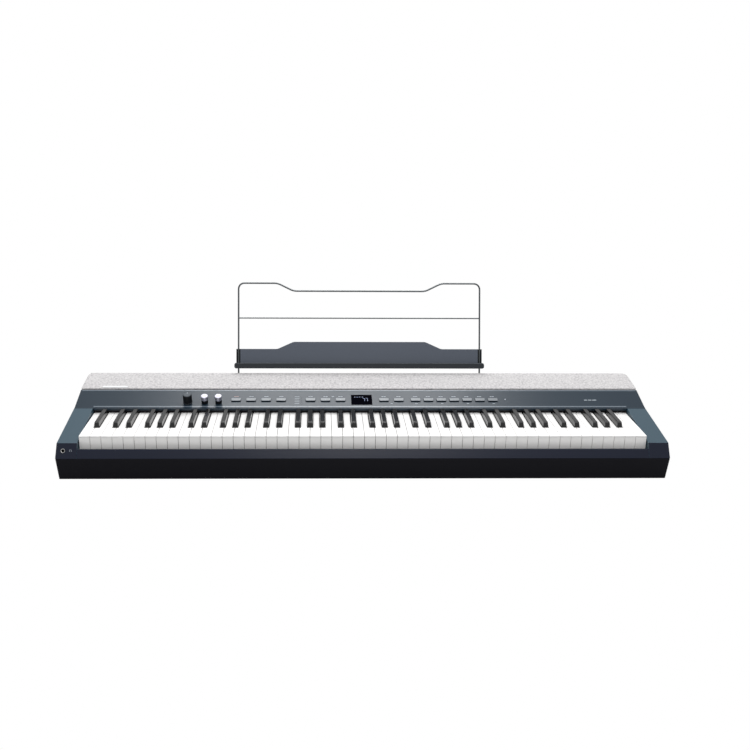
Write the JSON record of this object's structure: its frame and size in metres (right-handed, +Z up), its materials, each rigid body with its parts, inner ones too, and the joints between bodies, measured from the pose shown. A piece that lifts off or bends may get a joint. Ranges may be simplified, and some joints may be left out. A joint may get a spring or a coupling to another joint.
{
  "type": "digital piano",
  "caption": "Slab digital piano with a full hammer keyboard, control panel, cloth-covered speaker deck and a lift-off wire music rest.",
  "frame": {"origin": "middle of the part's box, on the surface the feet stand on", "axes": "+X along the keyboard to the treble end, +Y from the keys to the rear panel, +Z up"},
  "size_m": [1.316, 0.393, 0.3509],
  "materials": {
    "lower_case": "fine texture",
    "slate_case": "satin",
    "front_slate": "semi gloss",
    "inner_plastic": "plain",
    "grille_cloth": "woven heather grey",
    "badge": "plain white",
    "felt": "felt",
    "board": "solder mask",
    "white_key": "satin white",
    "black_key": "satin black",
    "display_glass": "gloss black",
    "button": "satin",
    "knob_dark": "satin",
    "knob_light": "satin",
    "nickel": "polished",
    "rubber": "matte",
    "steel_wire": "satin",
    "rest_sheet": "slate anodised"
  },
  "bodies": {
    "case": {"bottom_case": "lower_case", "front_rail": "front_slate", "cheek_left": "slate_case", "cheek_right": "slate_case", "control_panel": "slate_case", "grille_frame": "inner_plastic", "grille_cloth": "grille_cloth", "badge": "badge", "rear_panel": "lower_case", "connector_block": "inner_plastic", "keybed_frame": "inner_plastic", "key_felt": "felt", "panel_board": "board", "main_board": "board", "speaker_left": "inner_plastic", "speaker_right": "inner_plastic", "white_keys_bass": "white_key", "white_keys_treble": "white_key", "black_keys_bass": "black_key", "black_keys_treble": "black_key", "display_window": "display_glass", "power_lamp": "badge", "headphone_jack": "nickel", "foot_front_left": "rubber", "foot_front_right": "rubber", "foot_rear_left": "rubber", "foot_rear_right": "rubber"},
    "white_key_c": {"white_key_c": "white_key"},
    "white_key_d": {"white_key_d": "white_key"},
    "white_key_e": {"white_key_e": "white_key"},
    "white_key_f": {"white_key_f": "white_key"},
    "white_key_g": {"white_key_g": "white_key"},
    "white_key_a": {"white_key_a": "white_key"},
    "white_key_b": {"white_key_b": "white_key"},
    "black_key_c_sharp": {"black_key_c_sharp": "black_key"},
    "black_key_d_sharp": {"black_key_d_sharp": "black_key"},
    "black_key_f_sharp": {"black_key_f_sharp": "black_key"},
    "black_key_g_sharp": {"black_key_g_sharp": "black_key"},
    "black_key_a_sharp": {"black_key_a_sharp": "black_key"},
    "system_button_1": {"system_button_1": "button"},
    "system_button_2": {"system_button_2": "button"},
    "system_button_3": {"system_button_3": "button"},
    "system_button_4": {"system_button_4": "button"},
    "voice_button_1": {"voice_button_1": "button"},
    "voice_button_2": {"voice_button_2": "button"},
    "voice_button_3": {"voice_button_3": "button"},
    "menu_button_1": {"menu_button_1": "button"},
    "menu_button_2": {"menu_button_2": "button"},
    "song_button_1": {"song_button_1": "button"},
    "song_button_2": {"song_button_2": "button"},
    "song_button_3": {"song_button_3": "button"},
    "song_button_4": {"song_button_4": "button"},
    "song_button_5": {"song_button_5": "button"},
    "song_button_6": {"song_button_6": "button"},
    "song_button_7": {"song_button_7": "button"},
    "volume_knob": {"volume_knob": "knob_dark"},
    "tone_knob_left": {"tone_knob_left": "knob_light"},
    "tone_knob_right": {"tone_knob_right": "knob_light"},
    "music_rest": {"music_rest_frame": "steel_wire", "music_rest_plate": "rest_sheet"}
  },
  "joints": [
    {"name": "white_key_c_dip", "type": "hinge", "parent": "case", "child": "white_key_c", "pos_m": [0, 0.05547, 0.076], "axis": [1, 0, 0], "range_deg": [0, 2.5], "stiffness_Nm_per_rad": 1, "springref_deg": -10.31},
    {"name": "white_key_d_dip", "type": "hinge", "parent": "case", "child": "white_key_d", "pos_m": [0, 0.05547, 0.076], "axis": [1, 0, 0], "range_deg": [0, 2.5], "stiffness_Nm_per_rad": 1, "springref_deg": -10.31},
    {"name": "white_key_e_dip", "type": "hinge", "parent": "case", "child": "white_key_e", "pos_m": [0, 0.05547, 0.076], "axis": [1, 0, 0], "range_deg": [0, 2.5], "stiffness_Nm_per_rad": 1, "springref_deg": -10.31},
    {"name": "white_key_f_dip", "type": "hinge", "parent": "case", "child": "white_key_f", "pos_m": [0, 0.05547, 0.076], "axis": [1, 0, 0], "range_deg": [0, 2.5], "stiffness_Nm_per_rad": 1, "springref_deg": -10.31},
    {"name": "white_key_g_dip", "type": "hinge", "parent": "case", "child": "white_key_g", "pos_m": [0, 0.05547, 0.076], "axis": [1, 0, 0], "range_deg": [0, 2.5], "stiffness_Nm_per_rad": 1, "springref_deg": -10.31},
    {"name": "white_key_a_dip", "type": "hinge", "parent": "case", "child": "white_key_a", "pos_m": [0, 0.05547, 0.076], "axis": [1, 0, 0], "range_deg": [0, 2.5], "stiffness_Nm_per_rad": 1, "springref_deg": -10.31},
    {"name": "white_key_b_dip", "type": "hinge", "parent": "case", "child": "white_key_b", "pos_m": [0, 0.05547, 0.076], "axis": [1, 0, 0], "range_deg": [0, 2.5], "stiffness_Nm_per_rad": 1, "springref_deg": -10.31},
    {"name": "black_key_c_sharp_dip", "type": "hinge", "parent": "case", "child": "black_key_c_sharp", "pos_m": [0, 0.04147, 0.084], "axis": [1, 0, 0], "range_deg": [0, 3.2], "stiffness_Nm_per_rad": 0.8, "springref_deg": -8.59},
    {"name": "black_key_d_sharp_dip", "type": "hinge", "parent": "case", "child": "black_key_d_sharp", "pos_m": [0, 0.04147, 0.084], "axis": [1, 0, 0], "range_deg": [0, 3.2], "stiffness_Nm_per_rad": 0.8, "springref_deg": -8.59},
    {"name": "black_key_f_sharp_dip", "type": "hinge", "parent": "case", "child": "black_key_f_sharp", "pos_m": [0, 0.04147, 0.084], "axis": [1, 0, 0], "range_deg": [0, 3.2], "stiffness_Nm_per_rad": 0.8, "springref_deg": -8.59},
    {"name": "black_key_g_sharp_dip", "type": "hinge", "parent": "case", "child": "black_key_g_sharp", "pos_m": [0, 0.04147, 0.084], "axis": [1, 0, 0], "range_deg": [0, 3.2], "stiffness_Nm_per_rad": 0.8, "springref_deg": -8.59},
    {"name": "black_key_a_sharp_dip", "type": "hinge", "parent": "case", "child": "black_key_a_sharp", "pos_m": [0, 0.04147, 0.084], "axis": [1, 0, 0], "range_deg": [0, 3.2], "stiffness_Nm_per_rad": 0.8, "springref_deg": -8.59},
    {"name": "system_button_1_press", "type": "slide", "parent": "case", "child": "system_button_1", "axis": [0, 0.3255, -0.9455], "range_m": [0, 0.0012], "stiffness_N_per_m": 300, "springref_m": -0.002},
    {"name": "system_button_2_press", "type": "slide", "parent": "case", "child": "system_button_2", "axis": [0, 0.3255, -0.9455], "range_m": [0, 0.0012], "stiffness_N_per_m": 300, "springref_m": -0.002},
    {"name": "system_button_3_press", "type": "slide", "parent": "case", "child": "system_button_3", "axis": [0, 0.3255, -0.9455], "range_m": [0, 0.0012], "stiffness_N_per_m": 300, "springref_m": -0.002},
    {"name": "system_button_4_press", "type": "slide", "parent": "case", "child": "system_button_4", "axis": [0, 0.3255, -0.9455], "range_m": [0, 0.0012], "stiffness_N_per_m": 300, "springref_m": -0.002},
    {"name": "voice_button_1_press", "type": "slide", "parent": "case", "child": "voice_button_1", "axis": [0, 0.3255, -0.9455], "range_m": [0, 0.0012], "stiffness_N_per_m": 300, "springref_m": -0.002},
    {"name": "voice_button_2_press", "type": "slide", "parent": "case", "child": "voice_button_2", "axis": [0, 0.3255, -0.9455], "range_m": [0, 0.0012], "stiffness_N_per_m": 300, "springref_m": -0.002},
    {"name": "voice_button_3_press", "type": "slide", "parent": "case", "child": "voice_button_3", "axis": [0, 0.3255, -0.9455], "range_m": [0, 0.0012], "stiffness_N_per_m": 300, "springref_m": -0.002},
    {"name": "menu_button_1_press", "type": "slide", "parent": "case", "child": "menu_button_1", "axis": [0, 0.3255, -0.9455], "range_m": [0, 0.0012], "stiffness_N_per_m": 300, "springref_m": -0.002},
    {"name": "menu_button_2_press", "type": "slide", "parent": "case", "child": "menu_button_2", "axis": [0, 0.3255, -0.9455], "range_m": [0, 0.0012], "stiffness_N_per_m": 300, "springref_m": -0.002},
    {"name": "song_button_1_press", "type": "slide", "parent": "case", "child": "song_button_1", "axis": [0, 0.3255, -0.9455], "range_m": [0, 0.0012], "stiffness_N_per_m": 300, "springref_m": -0.002},
    {"name": "song_button_2_press", "type": "slide", "parent": "case", "child": "song_button_2", "axis": [0, 0.3255, -0.9455], "range_m": [0, 0.0012], "stiffness_N_per_m": 300, "springref_m": -0.002},
    {"name": "song_button_3_press", "type": "slide", "parent": "case", "child": "song_button_3", "axis": [0, 0.3255, -0.9455], "range_m": [0, 0.0012], "stiffness_N_per_m": 300, "springref_m": -0.002},
    {"name": "song_button_4_press", "type": "slide", "parent": "case", "child": "song_button_4", "axis": [0, 0.3255, -0.9455], "range_m": [0, 0.0012], "stiffness_N_per_m": 300, "springref_m": -0.002},
    {"name": "song_button_5_press", "type": "slide", "parent": "case", "child": "song_button_5", "axis": [0, 0.3255, -0.9455], "range_m": [0, 0.0012], "stiffness_N_per_m": 300, "springref_m": -0.002},
    {"name": "song_button_6_press", "type": "slide", "parent": "case", "child": "song_button_6", "axis": [0, 0.3255, -0.9455], "range_m": [0, 0.0012], "stiffness_N_per_m": 300, "springref_m": -0.002},
    {"name": "song_button_7_press", "type": "slide", "parent": "case", "child": "song_button_7", "axis": [0, 0.3255, -0.9455], "range_m": [0, 0.0012], "stiffness_N_per_m": 300, "springref_m": -0.002},
    {"name": "volume_knob_turn", "type": "hinge", "parent": "case", "child": "volume_knob", "pos_m": [-0.4, -0.00845, 0.11249], "axis": [0, -0.3255, 0.9455], "range_deg": [-150, 150]},
    {"name": "tone_knob_left_turn", "type": "hinge", "parent": "case", "child": "tone_knob_left", "pos_m": [-0.361, -0.00845, 0.11249], "axis": [0, -0.3255, 0.9455], "range_deg": [-150, 150]},
    {"name": "tone_knob_right_turn", "type": "hinge", "parent": "case", "child": "tone_knob_right", "pos_m": [-0.3294, -0.00845, 0.11249], "axis": [0, -0.3255, 0.9455], "range_deg": [-150, 150]},
    {"name": "music_rest_lift", "type": "slide", "parent": "case", "child": "music_rest", "axis": [0, 0.2924, 0.9563], "range_m": [0, 0.06]}
  ]
}
